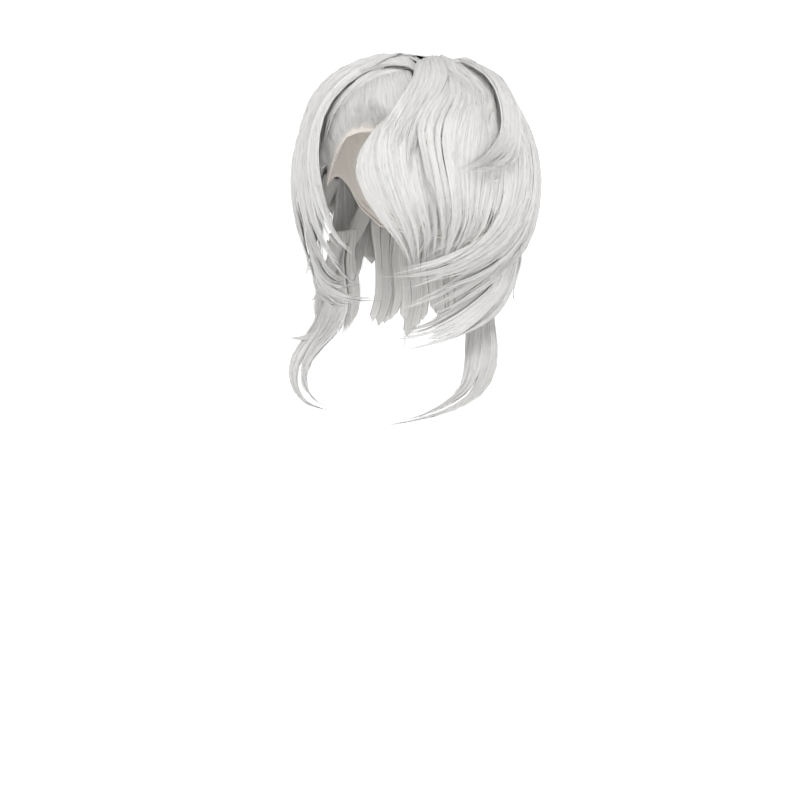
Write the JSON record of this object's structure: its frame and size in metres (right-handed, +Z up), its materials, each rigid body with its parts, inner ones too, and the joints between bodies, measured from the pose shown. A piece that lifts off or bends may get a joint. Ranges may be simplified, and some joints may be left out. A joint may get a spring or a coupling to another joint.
{
  "type": "long curly wig",
  "caption": "Layered wavy wig: a hollow net cap with a lace front, a swept fringe, face-framing locks and longer curved locks from the nape.",
  "frame": {"origin": "the inside top of the cap, where the crown of the head touches it", "axes": "+Z up, -Y the way the face looks, +X the wearer's left"},
  "size_m": [0.2423, 0.2724, 0.3389],
  "materials": {
    "hair": "soft sheen, synthetic fibre, silvery white",
    "net": "matt stretch net, tan",
    "lace": "fine lace, tan"
  },
  "bodies": {
    "root": {"wig_cap": "net", "lace_front": "lace", "right_roots": "hair", "fringe": "hair", "fringe_side": "hair", "crown_curl": "hair", "right_curtain": "hair", "right_back": "hair", "right_low": "hair", "left_upper": "hair", "left_middle": "hair", "left_lower": "hair", "back_crown": "hair", "back_middle": "hair", "back_under": "hair", "tail_left": "hair", "tail_right": "hair"}
  },
  "joints": []
}
